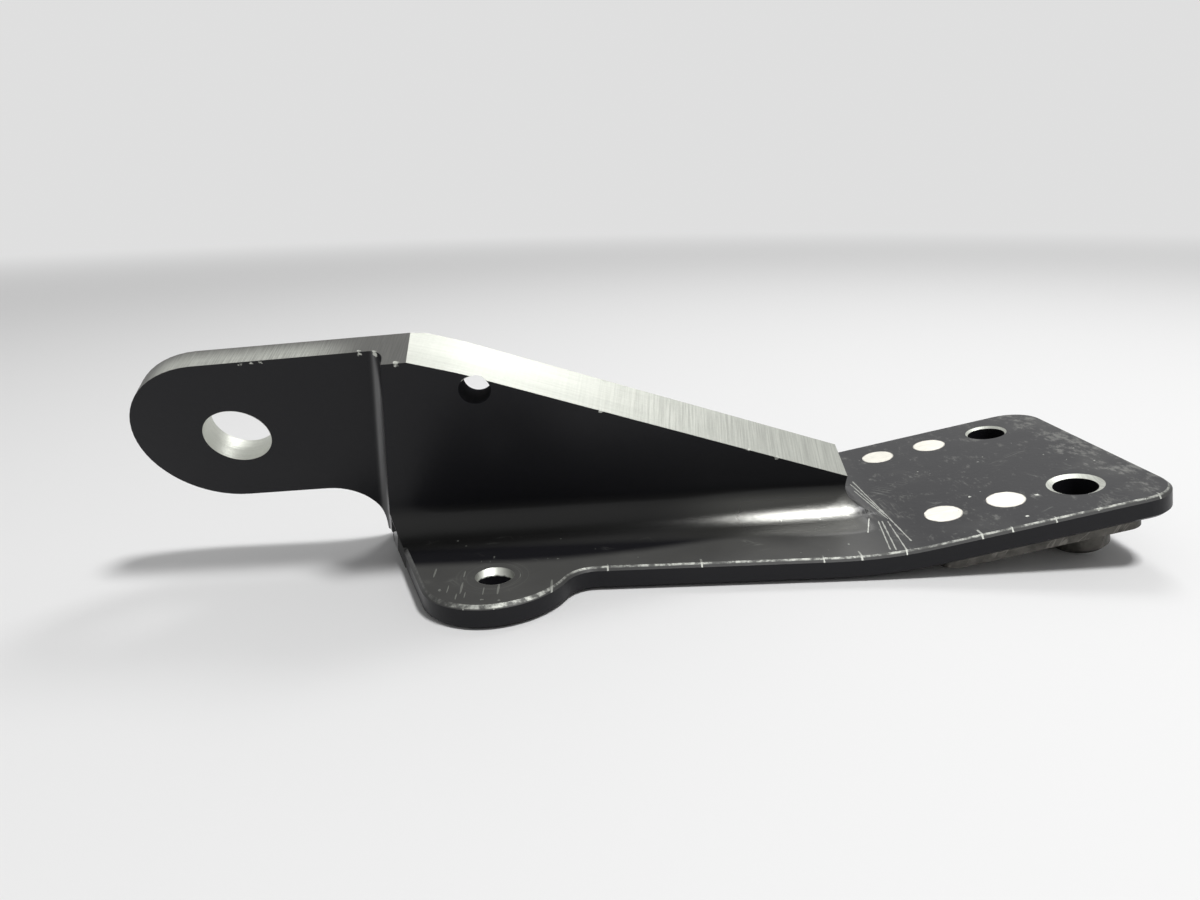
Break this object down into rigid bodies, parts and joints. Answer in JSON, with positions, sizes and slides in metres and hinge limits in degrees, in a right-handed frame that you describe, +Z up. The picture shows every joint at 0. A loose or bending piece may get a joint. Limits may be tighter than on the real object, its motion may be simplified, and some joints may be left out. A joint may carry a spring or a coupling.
{
  "type": "gas strut bracket",
  "caption": "Black-coated aluminium bracket for a gas strut: leaning web with a bored lug, drilled tab, and a raised plate with flush rivets and captive nuts.",
  "frame": {"origin": "centre of the tab's hole on the base's underside", "axes": "+X along the base's near edge towards the raised plate, +Y away from the tab, +Z up along the tab hole"},
  "size_m": [0.1225, 0.0445, 0.0304],
  "materials": {
    "coated": "satin black coating, milled bare on the sloped edge and in the bore",
    "rivet": "bare, worn",
    "nut": "dull plated"
  },
  "bodies": {
    "root": {"bracket": "coated", "nutplate_near": "nut", "nutplate_far": "nut", "rivet_near_a": "rivet", "rivet_near_b": "rivet", "rivet_far_a": "rivet", "rivet_far_b": "rivet"}
  },
  "joints": []
}
